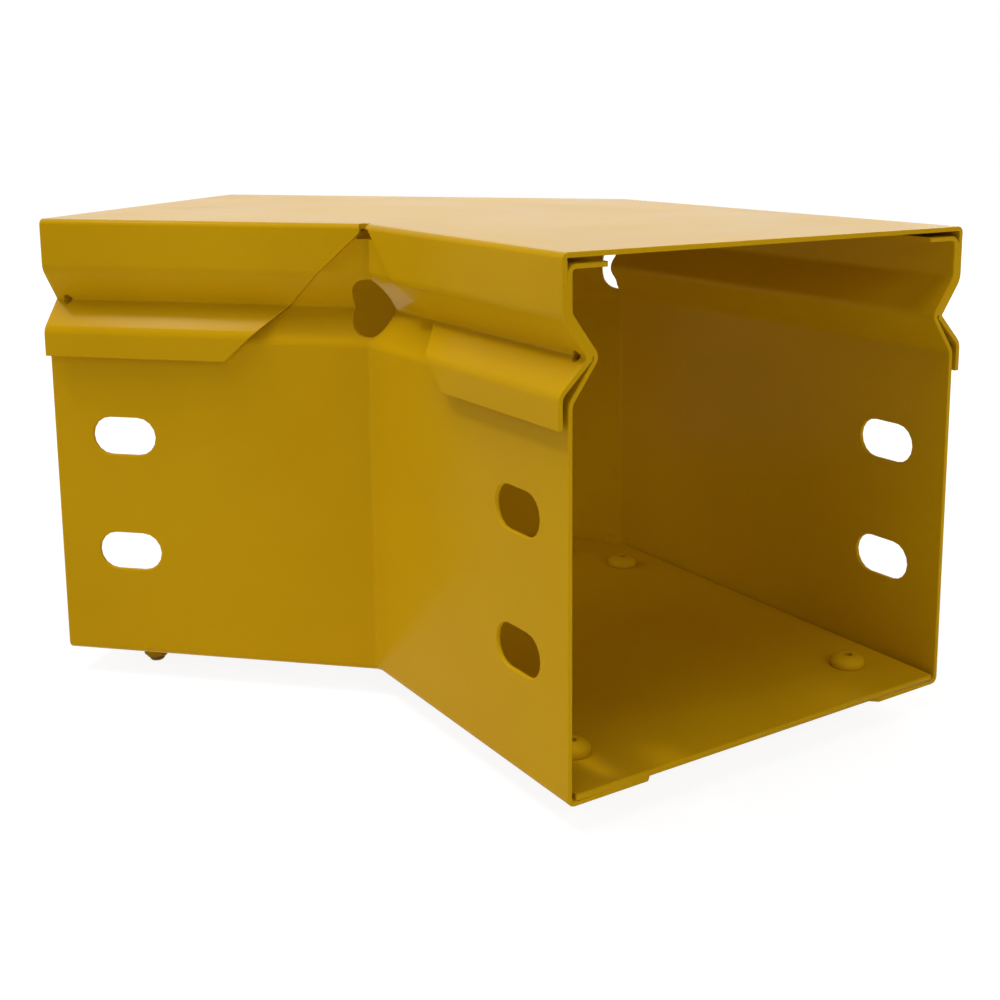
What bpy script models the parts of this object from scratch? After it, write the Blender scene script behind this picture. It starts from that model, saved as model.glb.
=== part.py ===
"""Covered fibre raceway: flat 45 degree elbow of folded sheet steel with a clip-on cover.

The duct runs in two equal legs that meet at a bend. The elbow's own frame has the inner
wall's outer face at the bend on the Z axis, the bend's mid plane at X = 0 and the underside
of the tray at Z = 0. A point on a leg is given by three lengths: along (from the bend towards
the leg's end), across (from the inner wall's outer face towards the outer wall) and up.
"""

import math

import bmesh
import bpy
from mathutils import Matrix, Vector

MM = 0.001

# Sides of the bend
LEFT, RIGHT = -1, 1
SIDES = {"left": LEFT, "right": RIGHT}

# Duct
BEND_ANGLE = math.radians(45)
DUCT_WIDTH = 100.0 * MM
TRAY_HEIGHT = 100.0 * MM
LEG_LENGTH = 76.7 * MM

# Sheets and the clearance between sheets that lie on each other
WALL_SHEET = 1.0 * MM
FLOOR_SHEET = 1.0 * MM
COVER_SHEET = 1.0 * MM
FIT_GAP = 0.3 * MM
COVER_LIFT = 1.0 * MM
FOLD_RADIUS = 0.6 * MM
COVER_FOLD_RADIUS = 0.3 * MM
BEND_RADIUS = 2.5 * MM

# Snap groove in the walls, followed by the cover's skirts
GROOVE_BELOW_TOP = 16.7 * MM
GROOVE_DEPTH = 5.8 * MM
GROOVE_UPPER_FLANK = 7.9 * MM
GROOVE_LOWER_FLANK = 8.0 * MM
GROOVE_ROOT_RADIUS = 1.0 * MM
GROOVE_SHOULDER_RADIUS = 2.0 * MM
COVER_ROOT_RADIUS = 0.3 * MM

# Flanges of the side walls
TOP_FLANGE = 8.5 * MM
BOTTOM_FLANGE = 21.5 * MM
FLANGE_CHAMFER = 3.0 * MM
NOTCH_HALF_WIDTH = 2.5 * MM
NOTCH_DROP = 1.4 * MM
NOTCH_FLARE = math.radians(32)

# Floor plate
FLOOR_SIDE_GAP = 0.2 * MM

# Coupling slots, two in each wall near each end
SLOT_FROM_END = 17.1 * MM
SLOT_HEIGHTS = (25.0 * MM, 52.4 * MM)
SLOT_LENGTH = 15.3 * MM
SLOT_WIDTH = 8.7 * MM

# Relief hole where the groove crosses the bend, a little off the bend line
RELIEF_HEIGHT = 12.8 * MM
RELIEF_CORNER = 4.0 * MM
RELIEF_REACH = {LEFT: 5.1 * MM, RIGHT: 2.4 * MM}

# Cover
LIP_DROP = 6.4 * MM
LIP_LENGTH = 6.0 * MM
LIP_STAND_OFF = 0.8 * MM
SKIRT_CUT_ANGLE = math.radians(42.5)
SKIRT_CUT_START = {LEFT: -0.6 * MM, RIGHT: 1.4 * MM}
SKIRT_CUT_BACK = 8.0 * MM
CORNER_RELIEF_RADIUS = 1.3 * MM
HANGING_HOLE_RADIUS = 1.05 * MM
HANGING_HOLE_FROM_END = 3.0 * MM

# Blind rivets
RIVET_RADIUS = 2.0 * MM
RIVET_HEAD_RADIUS = 4.0 * MM
RIVET_HEAD_HEIGHT = 2.3 * MM
RIVET_RIM = 0.4 * MM
RIVET_BULB_RADIUS = 3.0 * MM
RIVET_BULB_LENGTH = 4.4 * MM
RIVET_TAIL_RADIUS = 2.4 * MM
RIVET_TAIL_LENGTH = 6.0 * MM
RIVET_FROM_END = {LEFT: 16.6 * MM, RIGHT: 15.0 * MM}
BEND_RIVET_FROM_MITRE = 12.24 * MM
INNER_RIVET_INSET = 11.0 * MM
OUTER_RIVET_INSET = 13.0 * MM
MANDREL_RADIUS = 0.7 * MM
MANDREL_HEAD_RADIUS = 1.8 * MM
MANDREL_HEAD_LENGTH = 0.9 * MM
MANDREL_RECESS = 1.2 * MM

# Smoothness of the rounded shapes
FOLD_STEPS = 3
BEND_STEPS = 4
ARC_STEPS = 8
DOME_STEPS = 5
TURN_STEPS = 20
HOLE_SIDES = 16
SHARP_ANGLE = math.radians(35)

# Lengths that only have to be long enough for a cutter to pass through
CUTTER_REACH = 3.0 * MM
CUTTER_OVERLAP = 0.05 * MM
MERGE_DISTANCE = 0.01 * MM

# Everything below follows from the sizes above
HALF_BEND = BEND_ANGLE / 2
GROOVE_HEIGHT = TRAY_HEIGHT - GROOVE_BELOW_TOP
COVER_TOP = TRAY_HEIGHT + COVER_LIFT + COVER_SHEET
COVER_UNDERSIDE = COVER_TOP - COVER_SHEET
SKIRT_FACE = FIT_GAP + COVER_SHEET
FLOOR_TOP = WALL_SHEET + FIT_GAP + FLOOR_SHEET
FLOOR_EDGE = WALL_SHEET + FOLD_RADIUS + FLOOR_SIDE_GAP
WALL_DEPTH = WALL_SHEET + GROOVE_DEPTH
RIVET_HOLE_RADIUS = RIVET_RADIUS + FIT_GAP
RIVET_BORE_RADIUS = MANDREL_RADIUS + FIT_GAP

BODY_COLOUR = (0.50, 0.27, 0.006, 1.0)
MANDREL_COLOUR = (0.30, 0.27, 0.22, 1.0)


def leg_point(side, along, across, up):
    """The place of a point given along, across and up on the left or right leg."""
    sine, cosine = math.sin(HALF_BEND), math.cos(HALF_BEND)
    x = along * cosine + across * sine
    y = across * cosine - along * sine
    return Vector((side * x, y, up))


def clear_scene():
    """Remove every object, mesh, curve and material."""
    for item in list(bpy.data.objects):
        bpy.data.objects.remove(item, do_unlink=True)
    for store in (bpy.data.meshes, bpy.data.curves, bpy.data.materials):
        for item in list(store):
            store.remove(item)


def make_collection(name):
    """A collection of that name, linked to the scene."""
    collection = bpy.data.collections.get(name) or bpy.data.collections.new(name)
    if collection.name not in bpy.context.scene.collection.children:
        bpy.context.scene.collection.children.link(collection)
    return collection


def make_material(name, colour, roughness, metallic):
    """A plain Principled material."""
    material = bpy.data.materials.new(name)
    material.use_nodes = True
    shader = material.node_tree.nodes["Principled BSDF"]
    shader.inputs["Base Color"].default_value = colour
    shader.inputs["Roughness"].default_value = roughness
    shader.inputs["Metallic"].default_value = metallic
    material.diffuse_color = colour
    return material


def make_object(name, mesh, collection, frame, material=None):
    """An object for the mesh, in the collection and under the elbow's frame."""
    thing = bpy.data.objects.new(name, mesh)
    collection.objects.link(thing)
    thing.parent = frame
    if material and not mesh.materials:
        mesh.materials.append(material)
    return thing


def finish_mesh(name, bm):
    """Write the bmesh to a new mesh and free it."""
    mesh = bpy.data.meshes.new(name)
    bm.to_mesh(mesh)
    bm.free()
    return mesh


# Sections of the folded sheets


def turn_between(before, corner, after):
    """Directions into and out of a corner and the signed angle between them."""
    first = (corner - before).normalized()
    second = (after - corner).normalized()
    cross = first.x * second.y - first.y * second.x
    return first, second, math.atan2(cross, first.dot(second))


def round_corners(points, radii):
    """The polyline with an arc of the given radius in each inner corner."""
    path = [points[0]]
    for before, corner, after, radius in zip(points, points[1:], points[2:], radii):
        first, second, turn = turn_between(before, corner, after)
        reach = radius * math.tan(abs(turn) / 2)
        start = corner - first * reach
        left = Vector((-first.y, first.x)) * math.copysign(1, turn)
        centre = start + left * radius
        for step in range(FOLD_STEPS + 1):
            spoke = Matrix.Rotation(turn * step / FOLD_STEPS, 2) @ (start - centre)
            path.append(centre + spoke)
    path.append(points[-1])
    return path


def shift_corner(before, corner, after, distance):
    """The corner of the same polyline shifted sideways, to its left, by the distance."""
    first, second, turn = turn_between(before, corner, after)
    bisector = Vector((-first.y, first.x)) + Vector((-second.y, second.x))
    return corner + bisector.normalized() * distance / math.cos(turn / 2)


def wall_corners():
    """Corners of a wall's mid line, from the bottom flange's edge up to the top flange's edge."""
    mid = WALL_SHEET / 2
    return [
        Vector((BOTTOM_FLANGE, mid)),
        Vector((mid, mid)),
        Vector((mid, GROOVE_HEIGHT - GROOVE_LOWER_FLANK)),
        Vector((mid + GROOVE_DEPTH, GROOVE_HEIGHT)),
        Vector((mid, GROOVE_HEIGHT + GROOVE_UPPER_FLANK)),
        Vector((mid, TRAY_HEIGHT - mid)),
        Vector((TOP_FLANGE, TRAY_HEIGHT - mid)),
    ]


def wall_section():
    """Mid line of a side wall as (across from its outer face, up)."""
    fold = FOLD_RADIUS + WALL_SHEET / 2
    shoulder = GROOVE_SHOULDER_RADIUS + WALL_SHEET / 2
    root = GROOVE_ROOT_RADIUS + WALL_SHEET / 2
    return round_corners(wall_corners(), [fold, shoulder, root, shoulder, fold])


def skirt_section():
    """Mid line of one cover skirt, from the lip's edge up to the middle of the top plate."""
    corners = wall_corners()
    spacing = WALL_SHEET / 2 + FIT_GAP + COVER_SHEET / 2
    apex = shift_corner(corners[2], corners[3], corners[4], spacing)
    high = shift_corner(corners[3], corners[4], corners[5], spacing)
    lip = high.x - LIP_STAND_OFF
    lip_top = GROOVE_HEIGHT - LIP_DROP
    top = COVER_TOP - COVER_SHEET / 2
    points = [
        Vector((lip, lip_top - LIP_LENGTH)),
        Vector((lip, lip_top)),
        apex,
        high,
        Vector((high.x, top)),
        Vector((DUCT_WIDTH / 2, top)),
    ]
    bend = GROOVE_SHOULDER_RADIUS + COVER_SHEET / 2
    root = COVER_ROOT_RADIUS + COVER_SHEET / 2
    shoulder = GROOVE_SHOULDER_RADIUS + WALL_SHEET / 2 + spacing
    fold = COVER_FOLD_RADIUS + COVER_SHEET / 2
    return round_corners(points, [bend, root, shoulder, fold])


def cover_section():
    """Mid line of the whole cover, from the inner lip over the top plate to the outer lip."""
    inner = skirt_section()[:-1]
    outer = [Vector((DUCT_WIDTH - point.x, point.y)) for point in reversed(inner)]
    return inner + outer


def floor_section():
    """Mid line of the floor plate."""
    up = FLOOR_TOP - FLOOR_SHEET / 2
    return [Vector((FLOOR_EDGE, up)), Vector((DUCT_WIDTH - FLOOR_EDGE, up))]


def fold_sheet(name, section, bend_radius=0.0):
    """Carry a section from the right end over the bend to the left end as an open sheet."""
    bm = bmesh.new()
    row = [bm.verts.new(leg_point(RIGHT, LEG_LENGTH, across, up)) for across, up in section]
    run = [bm.edges.new(pair) for pair in zip(row, row[1:])]
    across_axis = leg_point(RIGHT, 0, 1, 0)

    def at_bend(point):
        return Vector((0, point.dot(across_axis) / math.cos(HALF_BEND), point.z))

    def at_left_end(point):
        across = point.y * math.cos(HALF_BEND)
        return leg_point(LEFT, LEG_LENGTH, across, point.z)

    for place in (at_bend, at_left_end):
        grown = bmesh.ops.extrude_edge_only(bm, edges=run)["geom"]
        run = [item for item in grown if isinstance(item, bmesh.types.BMEdge)]
        for item in grown:
            if isinstance(item, bmesh.types.BMVert):
                item.co = place(item.co)
    if bend_radius:
        seam = [edge for edge in bm.edges if all(abs(v.co.x) < MERGE_DISTANCE for v in edge.verts)]
        bmesh.ops.bevel(
            bm,
            geom=seam,
            offset=bend_radius * math.tan(HALF_BEND),
            offset_type="OFFSET",
            segments=BEND_STEPS,
            profile=0.5,
            affect="EDGES",
            clamp_overlap=False,
            material=-1,
        )
    bmesh.ops.recalc_face_normals(bm, faces=bm.faces)
    return finish_mesh(name, bm)


def thicken(sheet, thickness):
    """Give an open sheet its thickness, half on each side."""
    solid = sheet.modifiers.new("thickness", "SOLIDIFY")
    solid.thickness = thickness
    solid.offset = 0.0
    solid.use_even_offset = True
    solid.use_quality_normals = True


def clean_cuts(sheet):
    """Merge the near-coincident points that cutting leaves."""
    weld = sheet.modifiers.new("clean_cuts", "WELD")
    weld.merge_threshold = MERGE_DISTANCE


# Cutters


class Cutters:
    """Makes the cutting bodies and applies them to the sheets."""

    def __init__(self, collection, frame):
        self.collection = collection
        self.frame = frame

    def add(self, name, bm):
        bmesh.ops.recalc_face_normals(bm, faces=bm.faces)
        cutter = make_object(name, finish_mesh(name, bm), self.collection, self.frame)
        cutter.hide_render = True
        cutter.display_type = "WIRE"
        return cutter

    def prism(self, outline, travel):
        """A prism from a flat outline of points, pushed along the travel."""
        bm = bmesh.new()
        face = bm.faces.new([bm.verts.new(point) for point in outline])
        pushed = bmesh.ops.extrude_face_region(bm, geom=[face])["geom"]
        moved = [item for item in pushed if isinstance(item, bmesh.types.BMVert)]
        bmesh.ops.translate(bm, verts=moved, vec=travel)
        return bm

    def through_walls(self, name, side, outline, start, end, own_leg=False):
        """A prism across a leg, from an outline of (along, up) points.

        With own_leg it ends at the bend's mid plane.
        """
        points = [leg_point(side, along, start, up) for along, up in outline]
        travel = leg_point(side, 0, end, 0) - leg_point(side, 0, start, 0)
        bm = self.prism(points, travel)
        if own_leg:
            self.end_at_bend(bm, side)
        return self.add(name, bm)

    def end_at_bend(self, bm, side):
        """Take off what lies past the bend's mid plane and close the body again."""
        cut = bmesh.ops.bisect_plane(
            bm,
            geom=bm.verts[:] + bm.edges[:] + bm.faces[:],
            plane_co=(-side * CUTTER_OVERLAP, 0, 0),
            plane_no=(-side, 0, 0),
            clear_outer=True,
        )
        rim = [item for item in cut["geom_cut"] if isinstance(item, bmesh.types.BMEdge)]
        bmesh.ops.contextual_create(bm, geom=rim)

    def through_plan(self, name, outline, low, high):
        """An upright prism from an outline of points in plan."""
        points = [Vector((point.x, point.y, low)) for point in outline]
        return self.add(name, self.prism(points, Vector((0, 0, high - low))))

    def round_hole(self, name, start, end, radius):
        """A cylinder between two points."""
        bm = bmesh.new()
        axis = end - start
        turn = axis.to_track_quat("Z", "Y").to_matrix().to_4x4()
        flat_up = Matrix.Rotation(math.pi / HOLE_SIDES, 4, "Z")
        place = Matrix.Translation((start + end) / 2) @ turn @ flat_up
        bmesh.ops.create_cone(
            bm,
            cap_ends=True,
            segments=HOLE_SIDES,
            radius1=radius,
            radius2=radius,
            depth=axis.length,
            matrix=place,
        )
        return self.add(name, bm)

    def cut(self, sheet, *cutters):
        """Take the cutters out of the sheet."""
        for cutter in cutters:
            boolean = sheet.modifiers.new(cutter.name, "BOOLEAN")
            boolean.operation = "DIFFERENCE"
            boolean.solver = "EXACT"
            boolean.object = cutter


def arc(centre, radius, start_degrees, end_degrees):
    """Points of an arc round a centre."""
    points = []
    for step in range(ARC_STEPS + 1):
        angle = math.radians(start_degrees + (end_degrees - start_degrees) * step / ARC_STEPS)
        points.append((centre[0] + radius * math.cos(angle), centre[1] + radius * math.sin(angle)))
    return points


def relief_outline(side, face):
    """One leg's half of a relief hole, drawn past the bend."""
    bend = -face * math.tan(HALF_BEND)
    middle = bend + RELIEF_REACH[side] - RELIEF_CORNER
    past = bend - RELIEF_HEIGHT
    low = GROOVE_HEIGHT - RELIEF_HEIGHT / 2
    high = GROOVE_HEIGHT + RELIEF_HEIGHT / 2
    return [
        *arc((middle, low + RELIEF_CORNER), RELIEF_CORNER, -90, 0),
        *arc((middle, high - RELIEF_CORNER), RELIEF_CORNER, 0, 90),
        (past, high),
        (past, low),
    ]


def slot_outline(along, up):
    """A slot with round ends, centred on the point."""
    radius = SLOT_WIDTH / 2
    half = SLOT_LENGTH / 2 - radius
    return arc((along + half, up), radius, -90, 90) + arc((along - half, up), radius, 90, 270)


# Sheets


def rivet_places():
    """Rivet name number, side of the bend, along and across for each rivet."""
    outer = DUCT_WIDTH - OUTER_RIVET_INSET
    places = []
    near_bend = BEND_RIVET_FROM_MITRE - outer * math.tan(HALF_BEND)
    for side in SIDES.values():
        near_end = LEG_LENGTH - RIVET_FROM_END[side]
        places.append((side, near_end, INNER_RIVET_INSET))
        places.append((side, near_end, outer))
        places.append((side, near_bend, outer))
    return list(enumerate(places, start=1))


def make_wall(name, inner, collection, frame, material, cutters):
    """A side wall: section, bend, slots, relief hole, notches, chamfers and rivet holes."""
    section = wall_section()
    if not inner:
        section = [Vector((DUCT_WIDTH - point.x, point.y)) for point in section]
    mesh = fold_sheet(name, section, BEND_RADIUS)
    wall = make_object(name, mesh, collection, frame, material)
    thicken(wall, WALL_SHEET)
    face = 0.0 if inner else DUCT_WIDTH
    inward = 1 if inner else -1
    across_from = min(face, face + inward * WALL_DEPTH) - CUTTER_REACH
    across_to = max(face, face + inward * WALL_DEPTH) + CUTTER_REACH
    for word, side in SIDES.items():
        for number, up in enumerate(SLOT_HEIGHTS, start=1):
            outline = slot_outline(LEG_LENGTH - SLOT_FROM_END, up)
            label = f"{name}_slot_{word}_{number}"
            cutters.cut(wall, cutters.through_walls(label, side, outline, across_from, across_to))
        outline = relief_outline(side, face)
        label = f"{name}_relief_{word}"
        relief = cutters.through_walls(label, side, outline, across_from, across_to, own_leg=True)
        cutters.cut(wall, relief)
        cutters.cut(wall, flange_chamfer(f"{name}_chamfer_{word}", side, face, inward, cutters))
    for number, (side, along, across) in rivet_places():
        if (across < DUCT_WIDTH / 2) == inner:
            cutters.cut(wall, rivet_hole(f"{name}_rivet_hole_{number}", side, along, across, cutters))
    for notch in flange_notches(name, inner, cutters):
        cutters.cut(wall, notch)
    clean_cuts(wall)
    return wall


def flange_chamfer(name, side, face, inward, cutters):
    """Takes the free corner off the bottom flange at the leg's end."""
    edge = face + inward * BOTTOM_FLANGE
    size = FLANGE_CHAMFER
    past = CUTTER_REACH
    outline = [
        leg_point(side, LEG_LENGTH + past, edge - inward * (size + past), 0),
        leg_point(side, LEG_LENGTH + past, edge + inward * past, 0),
        leg_point(side, LEG_LENGTH - size - past, edge + inward * past, 0),
    ]
    return cutters.through_plan(name, outline, -past, WALL_SHEET + past)


def flange_notches(name, inner, cutters):
    """Relief notches in the top and bottom flanges at the bend.

    The inner wall's flanges part at the bend, so their notch ends square to each leg. The outer
    wall's flanges would overlap, so their notch opens as a wedge.
    """
    notches = []
    top_low = TRAY_HEIGHT - NOTCH_DROP
    floor_start = WALL_SHEET + FOLD_RADIUS
    spans = {
        "top": (-CUTTER_REACH, TOP_FLANGE, top_low, TRAY_HEIGHT + CUTTER_REACH),
        "bottom": (floor_start, BOTTOM_FLANGE, -CUTTER_REACH, WALL_SHEET + CUTTER_REACH),
    }
    for word, (start, end, low, high) in spans.items():
        end = end + CUTTER_REACH
        if inner:
            width = NOTCH_HALF_WIDTH
            outline = [
                leg_point(LEFT, width, start, 0),
                leg_point(RIGHT, width, start, 0),
                leg_point(RIGHT, width, end, 0),
                Vector((0, end / math.cos(HALF_BEND))),
                leg_point(LEFT, width, end, 0),
            ]
        else:
            corner = DUCT_WIDTH / math.cos(HALF_BEND)
            near = NOTCH_HALF_WIDTH + max(start, 0) * math.tan(NOTCH_FLARE)
            far = NOTCH_HALF_WIDTH + end * math.tan(NOTCH_FLARE)
            outline = [
                Vector((-near, corner - start)),
                Vector((near, corner - start)),
                Vector((far, corner - end)),
                Vector((-far, corner - end)),
            ]
        notches.append(cutters.through_plan(f"{name}_notch_{word}", outline, low, high))
    return notches


def rivet_hole(name, side, along, across, cutters):
    """A hole through the floor plate and the flange under it."""
    low = leg_point(side, along, across, -CUTTER_REACH)
    high = leg_point(side, along, across, FLOOR_TOP + CUTTER_REACH)
    return cutters.round_hole(name, low, high, RIVET_HOLE_RADIUS)


def make_floor(collection, frame, material, cutters):
    """The floor plate on the bottom flanges."""
    name = "floor_plate"
    floor = make_object(name, fold_sheet(name, floor_section()), collection, frame, material)
    thicken(floor, FLOOR_SHEET)
    for number, (side, along, across) in rivet_places():
        cutters.cut(floor, rivet_hole(f"{name}_rivet_hole_{number}", side, along, across, cutters))
    return floor


def make_cover(collection, frame, material, cutters):
    """The clip-on cover: plate, grooved skirts, cuts at the bend and hanging holes."""
    name = "cover"
    cover = make_object(name, fold_sheet(name, cover_section()), collection, frame, material)
    thicken(cover, COVER_SHEET)
    for word, side in SIDES.items():
        cutters.cut(cover, inner_skirt_cut(f"cover_inner_cut_{word}", side, cutters))
        cutters.cut(cover, outer_skirt_cut(f"cover_outer_cut_{word}", side, cutters))
        cutters.cut(cover, hanging_holes(f"cover_hanging_hole_{word}", side, cutters))
    corner = Vector((0, -(SKIRT_FACE - COVER_SHEET / 2) / math.cos(HALF_BEND), 0))
    low = corner + Vector((0, 0, COVER_UNDERSIDE - CUTTER_REACH))
    high = corner + Vector((0, 0, COVER_TOP + CUTTER_REACH))
    cutters.cut(cover, cutters.round_hole("cover_corner_relief", low, high, CORNER_RELIEF_RADIUS))
    clean_cuts(cover)
    return cover


def skirt_levels():
    """Levels just past the lip's edge and just under the cover's plate."""
    low = GROOVE_HEIGHT - LIP_DROP - LIP_LENGTH - CUTTER_REACH
    return low, COVER_UNDERSIDE - CUTTER_OVERLAP


def inner_skirt_cut(name, side, cutters):
    """Slanting cut that lets the inner skirts part at the bend."""
    low, high = skirt_levels()
    slope = 1 / math.tan(SKIRT_CUT_ANGLE)
    start = SKIRT_CUT_START[side]
    past = -(WALL_DEPTH + CUTTER_REACH)
    outline = [
        (past, high),
        (start + (COVER_TOP - high) * slope, high),
        (start + (COVER_TOP - low) * slope, low),
        (past, low),
    ]
    outside = -(SKIRT_FACE + LIP_STAND_OFF + CUTTER_REACH)
    return cutters.through_walls(name, side, outline, outside, -past, own_leg=True)


def outer_skirt_cut(name, side, cutters):
    """Square cut that keeps the outer skirts back from the corner."""
    low, high = skirt_levels()
    depth = WALL_DEPTH + CUTTER_REACH
    reach = SKIRT_FACE + LIP_STAND_OFF + CUTTER_REACH
    bend = -(DUCT_WIDTH + SKIRT_FACE) * math.tan(HALF_BEND)
    outline = [
        (bend - reach, high),
        (bend + SKIRT_CUT_BACK, high),
        (bend + SKIRT_CUT_BACK, low),
        (bend - reach, low),
    ]
    return cutters.through_walls(name, side, outline, DUCT_WIDTH - depth, DUCT_WIDTH + reach)


def hanging_holes(name, side, cutters):
    """One pin through both grooves near the leg's end."""
    along = LEG_LENGTH - HANGING_HOLE_FROM_END
    reach = SKIRT_FACE + LIP_STAND_OFF + CUTTER_REACH
    start = leg_point(side, along, -reach, GROOVE_HEIGHT)
    end = leg_point(side, along, DUCT_WIDTH + reach, GROOVE_HEIGHT)
    return cutters.round_hole(name, start, end, HANGING_HOLE_RADIUS)


# Rivets


def profile_mesh(name, profile):
    """A profile of (radius, height) pairs in the XZ plane, closed where it keeps off the axis."""
    bm = bmesh.new()
    chain = [bm.verts.new((radius, 0, up)) for radius, up in profile]
    for pair in zip(chain, chain[1:]):
        bm.edges.new(pair)
    if profile[0][0] > 0:
        bm.edges.new((chain[-1], chain[0]))
    return finish_mesh(name, bm)


def turned_mesh(name, profile):
    """The profile turned once round the Z axis, shaded smooth but for its sharp edges."""
    blank = bpy.data.objects.new(name, profile_mesh(f"{name}_profile", profile))
    bpy.context.scene.collection.objects.link(blank)
    screw = blank.modifiers.new("turn", "SCREW")
    screw.axis = "Z"
    screw.angle = math.tau
    screw.steps = TURN_STEPS
    screw.render_steps = TURN_STEPS
    screw.use_merge_vertices = True
    screw.merge_threshold = MERGE_DISTANCE
    graph = bpy.context.evaluated_depsgraph_get()
    mesh = bpy.data.meshes.new_from_object(blank.evaluated_get(graph))
    bpy.data.objects.remove(blank, do_unlink=True)
    mesh.name = name
    mesh.shade_smooth()
    mesh.set_sharp_from_angle(angle=SHARP_ANGLE)
    return mesh


def rivet_body_profile():
    """Rivet body from the bore's top edge down the outside and back up the bore.

    Height 0 is the floor plate's upper face.
    """
    seat = FIT_GAP
    rim_top = seat + RIVET_RIM
    rise = RIVET_HEAD_HEIGHT - RIVET_RIM
    dome = []
    for step in range(1, DOME_STEPS + 1):
        angle = math.radians(90) * step / DOME_STEPS
        dome.append((
            RIVET_BORE_RADIUS + (RIVET_HEAD_RADIUS - RIVET_BORE_RADIUS) * math.sin(angle),
            rim_top + rise * math.cos(angle),
        ))
    underside = -FLOOR_TOP
    bulb_top = underside - FIT_GAP
    bulb_bottom = bulb_top - RIVET_BULB_LENGTH
    tail = underside - RIVET_TAIL_LENGTH + MANDREL_HEAD_LENGTH + FIT_GAP
    shoulder = (RIVET_BULB_RADIUS - RIVET_RADIUS) / 2
    return [
        (RIVET_BORE_RADIUS, rim_top + rise),
        *dome,
        (RIVET_HEAD_RADIUS, seat),
        (RIVET_RADIUS, seat),
        (RIVET_RADIUS, bulb_top),
        (RIVET_RADIUS + shoulder, bulb_top),
        (RIVET_BULB_RADIUS, bulb_top - shoulder),
        (RIVET_BULB_RADIUS, bulb_bottom + shoulder),
        (RIVET_TAIL_RADIUS, bulb_bottom),
        (RIVET_TAIL_RADIUS, tail),
        (RIVET_BORE_RADIUS, tail),
    ]


def mandrel_profile():
    """Mandrel stub: stem in the bore and head under the body's tail, on its own axis."""
    top = FIT_GAP + RIVET_HEAD_HEIGHT - MANDREL_RECESS
    tail = -FLOOR_TOP - RIVET_TAIL_LENGTH + MANDREL_HEAD_LENGTH
    bottom = tail - MANDREL_HEAD_LENGTH
    edge = MANDREL_HEAD_LENGTH / 3
    return [
        (0, top),
        (MANDREL_RADIUS, top),
        (MANDREL_RADIUS, tail),
        (MANDREL_HEAD_RADIUS, tail),
        (MANDREL_HEAD_RADIUS, tail - edge),
        (MANDREL_HEAD_RADIUS - edge, bottom + edge / 2),
        (MANDREL_RADIUS / 2, bottom),
        (0, bottom),
    ]


def make_rivets(collection, frame, body_material, mandrel_material):
    """The six rivets, each a body and its mandrel stub on one axis."""
    body_mesh = turned_mesh("rivet_body", rivet_body_profile())
    mandrel_mesh = turned_mesh("rivet_mandrel", mandrel_profile())
    for number, (side, along, across) in rivet_places():
        for label, mesh, material in (
            ("rivet_body", body_mesh, body_material),
            ("rivet_mandrel", mandrel_mesh, mandrel_material),
        ):
            piece = make_object(f"{label}_{number}", mesh, collection, frame, material)
            piece.location = leg_point(side, along, across, FLOOR_TOP)


def make_frame(collection):
    """The elbow's frame, placed so that the part stands centred on the ground."""
    low = leg_point(RIGHT, LEG_LENGTH, -SKIRT_FACE - LIP_STAND_OFF, 0).y
    high = (DUCT_WIDTH + SKIRT_FACE) / math.cos(HALF_BEND)
    frame = bpy.data.objects.new("elbow_frame", None)
    collection.objects.link(frame)
    frame.location = (0, -(low + high) / 2, RIVET_TAIL_LENGTH)
    return frame


def main():
    """Build the elbow."""
    clear_scene()
    parts = make_collection("raceway_elbow_45")
    cutters_collection = make_collection("cutters")
    frame = make_frame(parts)
    cutters = Cutters(cutters_collection, frame)
    coat = make_material("yellow_powder_coat", BODY_COLOUR, 0.35, 0.0)
    bare = make_material("coated_mandrel", MANDREL_COLOUR, 0.45, 0.0)
    make_wall("inner_side_wall", True, parts, frame, coat, cutters)
    make_wall("outer_side_wall", False, parts, frame, coat, cutters)
    make_floor(parts, frame, coat, cutters)
    make_cover(parts, frame, coat, cutters)
    make_rivets(parts, frame, coat, bare)


main()
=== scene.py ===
"""Looks of a flat 45 degree elbow of covered fibre raceway in yellow powder-coated sheet steel.

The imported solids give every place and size. This script presses the folded sheets on each other,
rounds their sheared edges, turns finer blind rivets, dresses every piece in its finish, and adds a
plain studio and the photograph's camera.
"""

import logging
import math
from dataclasses import dataclass
from enum import Enum

import bmesh
import bpy
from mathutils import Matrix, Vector
from mathutils.bvhtree import BVHTree


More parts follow.
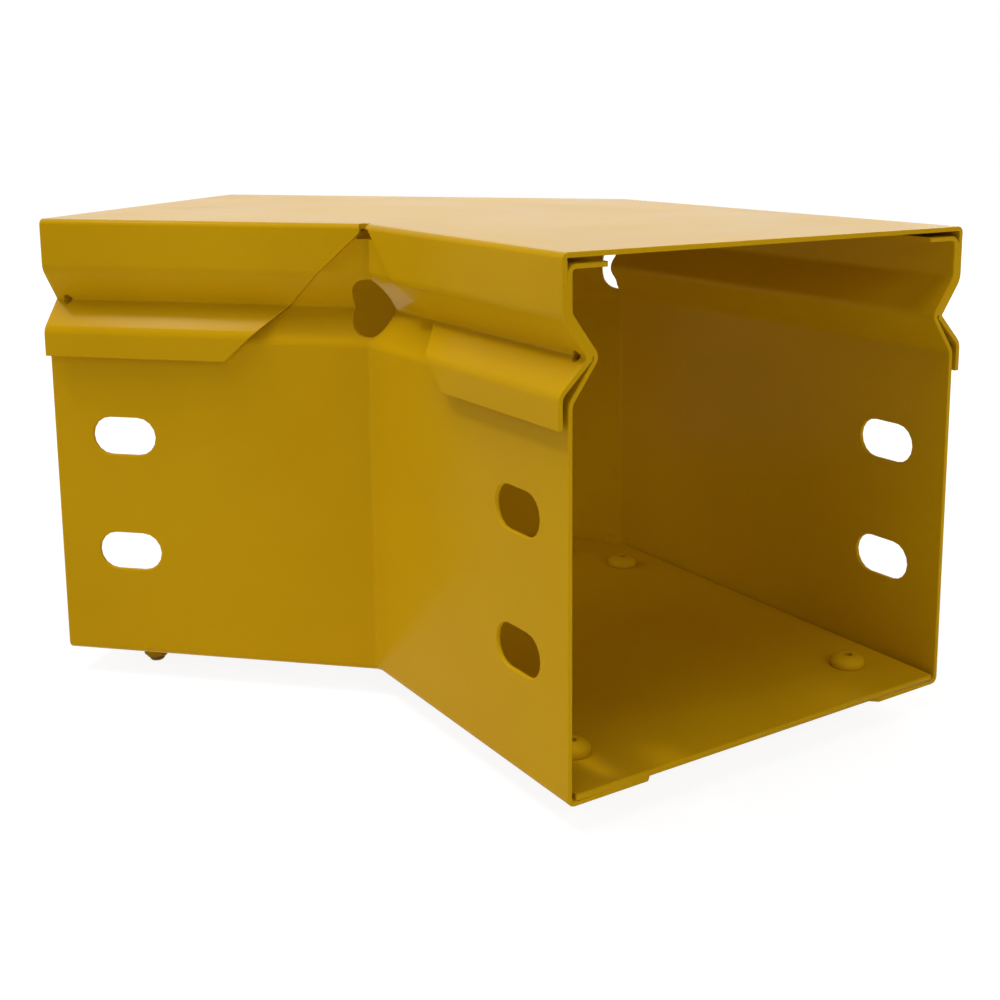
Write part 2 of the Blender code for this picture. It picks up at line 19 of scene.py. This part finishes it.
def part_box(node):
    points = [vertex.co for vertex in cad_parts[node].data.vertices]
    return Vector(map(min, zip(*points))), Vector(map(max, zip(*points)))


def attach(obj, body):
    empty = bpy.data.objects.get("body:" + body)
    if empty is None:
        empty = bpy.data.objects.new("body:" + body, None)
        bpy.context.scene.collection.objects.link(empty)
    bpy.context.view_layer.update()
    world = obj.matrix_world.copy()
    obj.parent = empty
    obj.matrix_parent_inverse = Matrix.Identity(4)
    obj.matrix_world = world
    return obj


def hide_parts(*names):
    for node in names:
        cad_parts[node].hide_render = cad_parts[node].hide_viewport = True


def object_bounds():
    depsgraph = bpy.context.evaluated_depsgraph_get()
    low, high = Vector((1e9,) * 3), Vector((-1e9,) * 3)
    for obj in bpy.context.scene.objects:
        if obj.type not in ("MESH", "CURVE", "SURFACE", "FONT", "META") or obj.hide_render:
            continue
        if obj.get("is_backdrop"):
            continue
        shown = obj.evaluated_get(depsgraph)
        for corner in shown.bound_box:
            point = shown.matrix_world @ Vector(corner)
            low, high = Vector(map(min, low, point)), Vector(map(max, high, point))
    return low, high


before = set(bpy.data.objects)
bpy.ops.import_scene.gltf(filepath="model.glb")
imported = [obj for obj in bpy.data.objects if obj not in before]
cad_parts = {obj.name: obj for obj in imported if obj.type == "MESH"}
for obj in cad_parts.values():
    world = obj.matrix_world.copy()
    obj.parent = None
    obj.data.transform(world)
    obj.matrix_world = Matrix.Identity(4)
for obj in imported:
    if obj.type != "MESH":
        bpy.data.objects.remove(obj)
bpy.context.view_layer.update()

LOG = logging.getLogger("raceway_elbow")
MM = 0.001
BODY = "root"
# Points nearer than this are one point, faces that turn less are one face, and an edge that turns
# more is a square one
WELD_MM = 0.002
FLAT_DEG = 3.5
SQUARE_DEG = 50.0


class Sheet(Enum):
    """The folded and flat sheets, by the name of their solid."""

    COVER = "cover"
    INNER_WALL = "inner_side_wall"
    OUTER_WALL = "outer_side_wall"
    FLOOR = "floor_plate"


class Slot(Enum):
    """The record's material slots."""

    COAT = "yellow_powder_coat"
    MANDREL = "coated_mandrel"


# The cover's folds are tighter, which leaves less room for the rounding of its cut edges
SHEARED_EDGES_MM = {Sheet.COVER: 0.22, Sheet.INNER_WALL: 0.36, Sheet.OUTER_WALL: 0.36,
                    Sheet.FLOOR: 0.36}


def linear(code: str) -> tuple[float, float, float, float]:
    """Turn an sRGB hex colour into linear values.

    Args:
        code: six hex digits, red first.

    Returns:
        Linear red, green and blue, and an alpha of 1.
    """
    values = []
    for start in (0, 2, 4):
        share = int(code[start:start + 2], 16) / 255
        values.append(share / 12.92 if share <= 0.04045 else ((share + 0.055) / 1.055) ** 2.4)
    return (*values, 1.0)


def add_node(tree: bpy.types.NodeTree, kind: str,
             settings: dict[int | str, object] | None = None,
             links: dict[int | str, bpy.types.NodeSocket] | None = None) -> bpy.types.Node:
    """Add a shader node with its settings and links.

    Args:
        tree: the node tree that takes the node.
        kind: the node's type.
        settings: values by input name, input number or property name.
        links: output sockets by the input name or number that they feed.

    Returns:
        The new node.
    """
    node = tree.nodes.new(kind)
    for key, value in (settings or {}).items():
        if isinstance(key, int) or key in node.inputs:
            node.inputs[key].default_value = value
        else:
            setattr(node, key, value)
    for key, socket in (links or {}).items():
        tree.links.new(socket, node.inputs[key])
    return node


def per_metre(pitch_mm: float) -> float:
    """Texture scale that repeats about once in the pitch, on coordinates in metres."""
    return 1.0 / (pitch_mm * MM)


def new_material(name: str) -> tuple[bpy.types.Material, bpy.types.NodeTree]:
    """Make an empty node material.

    Args:
        name: the finish's name.

    Returns:
        The material and its cleared node tree.
    """
    material = bpy.data.materials.new(name)
    material.use_nodes = True
    material.node_tree.nodes.clear()
    return material, material.node_tree


@dataclass(frozen=True)
class PowderCoat:
    """Semi-gloss polyester powder, sprayed dry on steel and baked to an even skin."""

    name: str = "yellow_polyester_powder_coat"
    colour: str = "C5980A"
    pale: str = "C99C0C"
    deep: str = "C19408"
    roughness: float = 0.20
    roughness_swing: float = 0.03
    specular: float = 0.02
    noise_span: tuple[float, float] = (0.3, 0.7)
    cloud_mm: float = 55.0
    smudge_mm: float = 24.0
    peel_mm: float = 1.6
    peel_height_mm: float = 0.010
    grain_mm: float = 0.35
    grain_height_mm: float = 0.002

    def material(self) -> bpy.types.Material:
        """Build the coat: clouded colour, slight smudges in the gloss and orange peel.

        Returns:
            The finished material.
        """
        material, tree = new_material(self.name)
        place = add_node(tree, "ShaderNodeTexCoord").outputs["Object"]
        least, most = self.noise_span
        # The baked skin varies a little in thickness, which shows as soft clouds of tone
        cloud = add_node(tree, "ShaderNodeTexNoise",
                         {"Scale": per_metre(self.cloud_mm), "Detail": 3.0},
                         {"Vector": place})
        tone = add_node(tree, "ShaderNodeValToRGB", links={"Fac": cloud.outputs["Fac"]})
        stops = tone.color_ramp.elements
        stops[0].position = least
        stops[0].color = linear(self.deep)
        stops[1].position = most
        stops[1].color = linear(self.pale)
        stops.new((least + most) / 2).color = linear(self.colour)
        # Handling leaves faint smudges that only the gloss shows
        smudge = add_node(tree, "ShaderNodeTexNoise",
                          {"Scale": per_metre(self.smudge_mm), "Detail": 5.0, "Distortion": 0.6},
                          {"Vector": place})
        gloss = add_node(tree, "ShaderNodeMapRange",
                         {"From Min": least, "From Max": most,
                          "To Min": self.roughness - self.roughness_swing,
                          "To Max": self.roughness + self.roughness_swing},
                         {"Value": smudge.outputs["Fac"]})
        # Orange peel: the melted powder flows to shallow waves a millimetre or two apart
        peel = add_node(tree, "ShaderNodeTexNoise",
                        {"Scale": per_metre(self.peel_mm), "Detail": 1.0},
                        {"Vector": place})
        waves = add_node(tree, "ShaderNodeBump",
                         {"Strength": 1.0, "Distance": self.peel_height_mm * MM},
                         {"Height": peel.outputs["Fac"]})
        # The powder's grit, drawn as coarse as it needs to show
        grain = add_node(tree, "ShaderNodeTexNoise",
                         {"Scale": per_metre(self.grain_mm), "Detail": 2.0},
                         {"Vector": place})
        skin = add_node(tree, "ShaderNodeBump",
                        {"Strength": 1.0, "Distance": self.grain_height_mm * MM},
                        {"Height": grain.outputs["Fac"], "Normal": waves.outputs["Normal"]})
        shader = add_node(tree, "ShaderNodeBsdfPrincipled",
                          {"Metallic": 0.0, "IOR": 1.5, "Specular IOR Level": self.specular},
                          {"Base Color": tone.outputs["Color"],
                           "Roughness": gloss.outputs["Result"],
                           "Normal": skin.outputs["Normal"]})
        add_node(tree, "ShaderNodeOutputMaterial", links={"Surface": shader.outputs["BSDF"]})
        return material


@dataclass(frozen=True)
class OversprayedSteel:
    """Broken end of a steel mandrel, dusted with powder down in the rivet's bore."""

    name: str = "oversprayed_mandrel_steel"
    dusted: str = "8C6C12"
    bare: str = "66501C"
    metallic: float = 0.3
    roughness: float = 0.5
    noise_span: tuple[float, float] = (0.4, 0.6)
    fleck_mm: float = 0.5
    torn_strength: float = 0.6
    torn_height_mm: float = 0.05

    def material(self) -> bpy.types.Material:
        """Build the dull, patchy steel.

        Returns:
            The finished material.
        """
        material, tree = new_material(self.name)
        place = add_node(tree, "ShaderNodeTexCoord").outputs["Object"]
        # Powder that found its way down the bore sits on the steel in flecks
        fleck = add_node(tree, "ShaderNodeTexNoise",
                         {"Scale": per_metre(self.fleck_mm), "Detail": 4.0},
                         {"Vector": place})
        tone = add_node(tree, "ShaderNodeValToRGB", links={"Fac": fleck.outputs["Fac"]})
        stops = tone.color_ramp.elements
        stops[0].position, stops[1].position = self.noise_span
        stops[0].color = linear(self.bare)
        stops[1].color = linear(self.dusted)
        # The stem tears off when the rivet is set, which leaves its end rough
        torn = add_node(tree, "ShaderNodeBump",
                        {"Strength": self.torn_strength, "Distance": self.torn_height_mm * MM},
                        {"Height": fleck.outputs["Fac"]})
        shader = add_node(tree, "ShaderNodeBsdfPrincipled",
                          {"Metallic": self.metallic, "Roughness": self.roughness},
                          {"Base Color": tone.outputs["Color"], "Normal": torn.outputs["Normal"]})
        add_node(tree, "ShaderNodeOutputMaterial", links={"Surface": shader.outputs["BSDF"]})
        return material


def place_piece(name: str, mesh: bpy.types.Mesh, material: bpy.types.Material,
                solid: str) -> bpy.types.Object:
    """Put a finished mesh in the scene in place of its solid.

    Args:
        name: the piece's name.
        mesh: the mesh, already in place in metres.
        material: the finish that it wears.
        solid: the solid that it stands for.

    Returns:
        The new object.
    """
    mesh.materials.clear()
    mesh.materials.append(material)
    mesh.shade_smooth()
    mesh.set_sharp_from_angle(angle=math.radians(SQUARE_DEG))
    piece = bpy.data.objects.new(name, mesh)
    bpy.context.scene.collection.objects.link(piece)
    normals = piece.modifiers.new("flat_faces_stay_flat", "WEIGHTED_NORMAL")
    normals.keep_sharp = True
    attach(piece, BODY)
    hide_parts(solid)
    return piece


def merged_copy(solid: str) -> bmesh.types.BMesh:
    """Copy a solid with its loose triangles joined into whole faces.

    Args:
        solid: the solid's name.

    Returns:
        The merged copy.
    """
    work = bmesh.new()
    work.from_mesh(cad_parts[solid].data)
    bmesh.ops.remove_doubles(work, verts=work.verts, dist=WELD_MM * MM)
    bmesh.ops.dissolve_limit(work, angle_limit=math.radians(FLAT_DEG),
                             verts=work.verts, edges=work.edges)
    return work


def round_edges(work: bmesh.types.BMesh, edges: list[bmesh.types.BMEdge],
                offset_mm: float, steps: int) -> None:
    """Round edges.

    Args:
        work: the mesh.
        edges: the edges that are rounded.
        offset_mm: how far the rounding reaches from the edge.
        steps: the faces across the rounding.
    """
    bmesh.ops.bevel(work, geom=edges, offset=offset_mm * MM, offset_type="OFFSET",
                    segments=steps, profile=0.5, affect="EDGES",
                    clamp_overlap=False, material=-1)


def sharp_edges(work: bmesh.types.BMesh, sharp_deg: float) -> list[bmesh.types.BMEdge]:
    """Find the edges that turn by more than an angle in degrees."""
    return [edge for edge in work.edges
            if len(edge.link_faces) == 2
            and edge.calc_face_angle(0.0) > math.radians(sharp_deg)]


def long_runs(edges: list[bmesh.types.BMEdge], least_mm: float) -> list[bmesh.types.BMEdge]:
    """Keep the edges that join up to a long enough run.

    Args:
        edges: the edges, in any order.
        least_mm: the shortest run that is kept.

    Returns:
        The edges of the long runs.
    """
    left = set(edges)
    kept = []
    for first in edges:
        run = [first] if first in left else []
        left.discard(first)
        for edge in run:
            for vert in edge.verts:
                joined = [other for other in vert.link_edges if other in left]
                left.difference_update(joined)
                run += joined
        if sum(edge.calc_length() for edge in run) >= least_mm * MM:
            kept += run
    return kept


def finished_mesh(work: bmesh.types.BMesh, name: str) -> bpy.types.Mesh:
    """Turn the working mesh into a named one.

    Args:
        work: the working mesh, which is freed.
        name: the new mesh's name.

    Returns:
        The new mesh.
    """
    mesh = bpy.data.meshes.new(name)
    work.to_mesh(mesh)
    work.free()
    return mesh


@dataclass(frozen=True)
class FoldedSheet:
    """One sheared and folded sheet, pressed on its neighbours, with its sheared edges rounded.

    No edge is rounded nearer than clear_mm to the bend or in a run shorter than run_mm. Another
    sheet is pressed on within reach_mm, and left_gap_mm stays between the two. A face lies level
    if its normal rises by level_at_least, and is then probed at its corners too, from corner_inset
    of the way to its middle. A corner of two pressed faces moves by the share over least_slant
    at most.
    """

    sheet: Sheet
    edge_mm: float
    edge_steps: int = 3
    clear_mm: float = 13.0
    run_mm: float = 12.0
    reach_mm: float = 0.45
    left_gap_mm: float = 0.01
    corner_inset: float = 0.1
    level_at_least: float = 0.9
    least_slant: float = 0.5

    def mesh(self) -> bpy.types.Mesh:
        """Press a copy of the solid on its neighbours and round its free sheared edges.

        The coat bridges the joint between two pressed sheets, so the edges there stay square, and
        so do those near the bend and the short ones in the folds and round the hanging holes.

        Returns:
            The finer mesh.
        """
        work = merged_copy(self.sheet.value)
        pressed = self.press_on(work)
        free = [edge for edge in sharp_edges(work, SQUARE_DEG)
                if min(abs(vert.co.x) for vert in edge.verts) >= self.clear_mm * MM
                and not pressed.intersection(edge.link_faces)]
        round_edges(work, long_runs(free, self.run_mm), self.edge_mm, self.edge_steps)
        return finished_mesh(work, f"{self.sheet.value}_sheet")

    def press_on(self, work: bmesh.types.BMesh) -> set[bmesh.types.BMFace]:
        """Move the faces that lie close to another sheet half way to it.

        The solids keep a clearance there, where the real sheets spring against each other. The
        floor plate's own edges keep their gap, which shows as a thin line along the walls.

        Args:
            work: the merged copy of the sheet.

        Returns:
            The moved faces.
        """
        neighbours = {}
        for sheet in Sheet:
            if sheet is not self.sheet:
                other = merged_copy(sheet.value)
                neighbours[sheet] = BVHTree.FromBMesh(other)
                other.free()
        moves = {}
        pressed = set()
        for face in work.faces:
            level = abs(face.normal.z) > self.level_at_least
            starts = [face.calc_center_median()]
            if level:
                starts += [vert.co.lerp(starts[0], self.corner_inset) for vert in face.verts]
            gaps = []
            for sheet, tree in neighbours.items():
                if level or Sheet.FLOOR not in (sheet, self.sheet):
                    hits = [tree.ray_cast(start, face.normal, self.reach_mm * MM)[3]
                            for start in starts]
                    gaps += [gap for gap in hits if gap is not None]
            if gaps:
                pressed.add(face)
                share = (min(gaps) - self.left_gap_mm * MM) / 2
                for vert in face.verts:
                    moves.setdefault(vert, []).append((face.normal.copy(), share))
        for vert, pushes in moves.items():
            way = sum((normal for normal, _ in pushes), Vector()).normalized()
            normal, share = pushes[0]
            vert.co += way * share / max(way.dot(normal), self.least_slant)
        work.normal_update()
        return pressed

    def build(self, material: bpy.types.Material) -> bpy.types.Object:
        """Make the sheet and dress it.

        Args:
            material: the coat.

        Returns:
            The finished piece.
        """
        name = f"{self.sheet.value}_coated"
        return place_piece(name, self.mesh(), material, self.sheet.value)


@dataclass(frozen=True)
class BlindRivet:
    """A set blind rivet: domed head, swelled tail and the mandrel broken off inside it.

    The widths of the head, shank, bore, bulb, tail, stem and button are radii.
    """

    head_mm: float = 4.0
    head_height_mm: float = 2.3
    rim_mm: float = 0.4
    lip_mm: float = 0.35
    shank_mm: float = 2.0
    bore_mm: float = 1.0
    bulb_mm: float = 3.0
    bulb_length_mm: float = 4.4
    tail_mm: float = 2.4
    stem_mm: float = 0.7
    torn_share: float = 0.8
    button_mm: float = 1.8
    button_length_mm: float = 0.9
    seated_mm: float = 0.25
    dome_steps: int = 10
    steps: int = 48
    corner_deg: float = 35.0
    corner_mm: float = 0.12
    corner_steps: int = 2
    count: int = 6

    def build(self, coat: bpy.types.Material, steel: bpy.types.Material) -> list[bpy.types.Object]:
        """Make all rivets.

        Args:
            coat: the finish on the bodies.
            steel: the finish on the mandrels.

        Returns:
            The rivet bodies and mandrels.
        """
        pieces = []
        for number in range(1, self.count + 1):
            body, stub = f"rivet_body_{number}", f"rivet_mandrel_{number}"
            low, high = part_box(body)
            mesh = self.turned(body, self.body_section(low.z / MM, high.z / MM))
            pieces.append(place_piece(f"{body}_turned", mesh, coat, body))
            low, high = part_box(stub)
            mesh = self.turned(stub, self.stub_section(low.z / MM, high.z / MM))
            pieces.append(place_piece(f"{stub}_turned", mesh, steel, stub))
        return pieces

    def body_section(self, foot: float, crown: float) -> list[tuple[float, float]]:
        """Half section of the body, as radius and height in millimetres.

        Args:
            foot: height of the tail's end.
            crown: height of the dome's top.

        Returns:
            The closed section, from the bore's top edge out and back up the bore.
        """
        seat = crown - self.head_height_mm
        rim_top = seat + self.rim_mm
        rise = crown - rim_top
        flat = self.bore_mm + self.lip_mm
        dome = []
        for step in range(self.dome_steps + 1):
            angle = math.radians(90) * step / self.dome_steps
            dome.append((flat + (self.head_mm - flat) * math.sin(angle),
                         rim_top + rise * math.cos(angle)))
        swell = (self.bulb_mm - self.shank_mm) / 2
        bulb_foot = foot + swell / 2
        bulb_top = bulb_foot + self.bulb_length_mm
        seated = seat - self.seated_mm
        return [(self.bore_mm, crown - self.corner_mm), *dome,
                (self.head_mm, seated), (self.shank_mm, seated),
                (self.shank_mm, bulb_top),
                (self.shank_mm + swell, bulb_top - swell / 4),
                (self.bulb_mm, bulb_top - swell),
                (self.bulb_mm, bulb_foot + swell),
                (self.tail_mm, bulb_foot), (self.tail_mm, foot), (self.bore_mm, foot)]

    def stub_section(self, foot: float, crown: float) -> list[tuple[float, float]]:
        """Half section of the mandrel stub, as radius and height in millimetres.

        Args:
            foot: height of the button's underside.
            crown: height of the torn end.

        Returns:
            The open section, from the axis at the torn end to the axis at the foot.
        """
        shoulder = foot + self.button_length_mm
        third = self.button_length_mm / 3
        return [(0.0, crown - third / 2), (self.stem_mm / 2, crown - third / 4),
                (self.stem_mm * self.torn_share, crown), (self.stem_mm, crown - third),
                (self.stem_mm, shoulder), (self.button_mm, shoulder),
                (self.button_mm, shoulder - third),
                (self.button_mm - third, foot + third / 2),
                (self.stem_mm / 2, foot), (0.0, foot)]

    def turned(self, solid: str, section: list[tuple[float, float]]) -> bpy.types.Mesh:
        """Spin a half section round the solid's own axis.

        Args:
            solid: the rivet body or mandrel stub.
            section: radius and height of each corner, in millimetres.

        Returns:
            The turned mesh, in place.
        """
        low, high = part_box(solid)
        axis = (Vector(low) + Vector(high)) / 2
        work = bmesh.new()
        corners = [work.verts.new((axis.x + radius * MM, axis.y, height * MM))
                   for radius, height in section]
        lines = [work.edges.new(pair) for pair in zip(corners, corners[1:])]
        if section[0][0] > 0.0:
            lines.append(work.edges.new((corners[-1], corners[0])))
        bmesh.ops.spin(work, geom=corners + lines, cent=(axis.x, axis.y, 0.0),
                       axis=(0.0, 0.0, 1.0), dvec=(0.0, 0.0, 0.0), angle=math.tau,
                       steps=self.steps, use_merge=True, use_duplicate=False)
        bmesh.ops.remove_doubles(work, verts=work.verts, dist=WELD_MM * MM)
        bmesh.ops.recalc_face_normals(work, faces=work.faces)
        round_edges(work, sharp_edges(work, self.corner_deg), self.corner_mm, self.corner_steps)
        return finished_mesh(work, f"{solid}_turned")


@dataclass(frozen=True)
class Lamp:
    """A square softbox that faces the middle of the elbow."""

    name: str
    azimuth_deg: float
    elevation_deg: float
    size_m: float
    watts: float
    distance_m: float = 1.3

    def build(self, target: Vector) -> bpy.types.Object:
        """Hang the softbox.

        Args:
            target: the point that it faces.

        Returns:
            The lamp.
        """
        azimuth, elevation = math.radians(self.azimuth_deg), math.radians(self.elevation_deg)
        away = Vector((math.sin(azimuth) * math.cos(elevation),
                       -math.cos(azimuth) * math.cos(elevation),
                       math.sin(elevation)))
        light = bpy.data.lights.new(self.name, "AREA")
        light.shape = "SQUARE"
        light.size = self.size_m
        light.energy = self.watts
        lamp = bpy.data.objects.new(self.name, light)
        lamp.location = target + away * self.distance_m
        lamp.rotation_euler = (math.radians(90.0) - elevation, 0.0, azimuth)
        bpy.context.scene.collection.objects.link(lamp)
        return lamp


@dataclass(frozen=True)
class Studio:
    """White floor and surroundings, with softboxes round the elbow."""

    floor_m: float = 6.0
    floor_colour: str = "F0F0F0"
    seen_colour: str = "707070"
    near_glow: float = 0.91
    far_glow: float = 1.0
    shadow_m: tuple[float, float] = (0.15, 0.45)
    white: str = "FFFFFF"
    lamps: tuple[Lamp, ...] = (
        Lamp("left_key_softbox", -45.0, 72.0, 0.6, 4.4),
        Lamp("front_key_softbox", 0.0, 72.0, 0.6, 2.2),
        Lamp("right_key_softbox", 45.0, 72.0, 0.6, 2.9),
        Lamp("left_spot_softbox", -50.0, 60.0, 0.15, 4.3),
        Lamp("left_low_softbox", -60.0, 28.0, 0.6, 2.5),
        Lamp("left_strip_softbox", -60.0, 6.5, 0.25, 0.8),
        Lamp("right_low_softbox", 60.0, 28.0, 0.6, 3.6),
        Lamp("right_strip_softbox", 60.0, 6.5, 0.25, 0.8),
        Lamp("back_left_softbox", -150.0, 28.0, 0.6, 1.1),
        Lamp("back_softbox", 180.0, 28.0, 0.6, 8.0),
        Lamp("back_spot_softbox", 160.0, 20.0, 0.15, 1.5),
    )

    def build(self) -> None:
        """Lay the floor, set the surroundings and hang the lamps."""
        self.floor()
        self.world()
        low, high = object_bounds()
        for lamp in self.lamps:
            lamp.build((low + high) / 2)

    def shown_white(self, tree: bpy.types.NodeTree) -> bpy.types.NodeSocket:
        """Light Path's share that the camera, a gloss or clear glass sees.

        Args:
            tree: the floor's or the world's node tree.

        Returns:
            A socket that is 1 for those rays and 0 for the light on the elbow.
        """
        seen = add_node(tree, "ShaderNodeLightPath")
        gloss = add_node(tree, "ShaderNodeMath", {"operation": "MAXIMUM"},
                         {0: seen.outputs["Is Camera Ray"], 1: seen.outputs["Is Glossy Ray"]})
        every = add_node(tree, "ShaderNodeMath", {"operation": "MAXIMUM"},
                         {0: gloss.outputs[0], 1: seen.outputs["Is Transmission Ray"]})
        return every.outputs[0]

    def floor(self) -> bpy.types.Object:
        """Lay the pale floor that the rivet tails rest on.

        Returns:
            The floor.
        """
        work = bmesh.new()
        bmesh.ops.create_grid(work, x_segments=1, y_segments=1, size=self.floor_m)
        mesh = finished_mesh(work, "studio_floor")
        material, tree = new_material("white_studio_floor")
        shown = self.shown_white(tree)
        matt = add_node(tree, "ShaderNodeBsdfDiffuse", {"Color": linear(self.floor_colour)})
        # What is seen keeps a soft shadow: part of the white is lit and part glows
        place = add_node(tree, "ShaderNodeTexCoord").outputs["Object"]
        away = add_node(tree, "ShaderNodeVectorMath", {"operation": "LENGTH"}, {0: place})
        near, far = self.shadow_m
        level = add_node(tree, "ShaderNodeMapRange",
                         {"From Min": near, "From Max": far,
                          "To Min": self.near_glow, "To Max": self.far_glow},
                         {"Value": away.outputs["Value"]})
        lit = add_node(tree, "ShaderNodeBsdfDiffuse", {"Color": linear(self.seen_colour)})
        glow = add_node(tree, "ShaderNodeEmission", {"Color": linear(self.white)},
                        {"Strength": level.outputs["Result"]})
        white = add_node(tree, "ShaderNodeAddShader",
                         links={0: lit.outputs["BSDF"], 1: glow.outputs["Emission"]})
        both = add_node(tree, "ShaderNodeMixShader",
                        links={0: shown, 1: matt.outputs["BSDF"], 2: white.outputs["Shader"]})
        add_node(tree, "ShaderNodeOutputMaterial", links={"Surface": both.outputs["Shader"]})
        mesh.materials.append(material)
        floor = bpy.data.objects.new("studio_floor", mesh)
        bpy.context.scene.collection.objects.link(floor)
        floor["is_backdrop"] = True
        return floor

    def world(self) -> None:
        """Set the surroundings: white where they are seen, and no light of their own."""
        world = bpy.data.worlds.new("studio")
        bpy.context.scene.world = world
        world.use_nodes = True
        tree = world.node_tree
        tree.nodes.clear()
        sky = add_node(tree, "ShaderNodeBackground", {"Color": linear(self.white)},
                       {"Strength": self.shown_white(tree)})
        add_node(tree, "ShaderNodeOutputWorld", links={"Surface": sky.outputs["Background"]})


@dataclass(frozen=True)
class PhotoCamera:
    """The camera at the photograph's place, fitted to the elbow's corners."""

    place_mm: tuple[float, float, float] = (196.81, -262.22, 130.49)
    turn_deg: tuple[float, float, float] = (80.147, -0.054, 32.851)
    lens_mm: float = 49.057
    sensor_mm: float = 36.0
    shift: tuple[float, float] = (-0.0731, -0.1455)
    nearest_m: float = 0.01

    def build(self) -> bpy.types.Object:
        """Set up the camera.

        Returns:
            The scene's camera.
        """
        data = bpy.data.cameras.new("photo_camera")
        data.sensor_width = self.sensor_mm
        data.lens = self.lens_mm
        data.shift_x, data.shift_y = self.shift
        data.clip_start = self.nearest_m
        camera = bpy.data.objects.new("photo_camera", data)
        camera.location = Vector(self.place_mm) * MM
        camera.rotation_euler = [math.radians(angle) for angle in self.turn_deg]
        bpy.context.scene.collection.objects.link(camera)
        bpy.context.scene.camera = camera
        return camera


def main() -> None:
    """Build the elbow's looks, the studio and the camera."""
    logging.basicConfig(level=logging.INFO, format="%(name)s: %(message)s")
    bpy.context.scene.view_settings.view_transform = "Standard"
    PhotoCamera().build()
    coat = PowderCoat().material()
    steel = OversprayedSteel().material()
    pieces = [FoldedSheet(sheet, edge_mm).build(coat)
              for sheet, edge_mm in SHEARED_EDGES_MM.items()]
    pieces += BlindRivet().build(coat, steel)
    for piece in pieces:
        LOG.info("%s: %d faces", piece.name, len(piece.data.polygons))
    Studio().build()


if __name__ == "__main__":
    main()
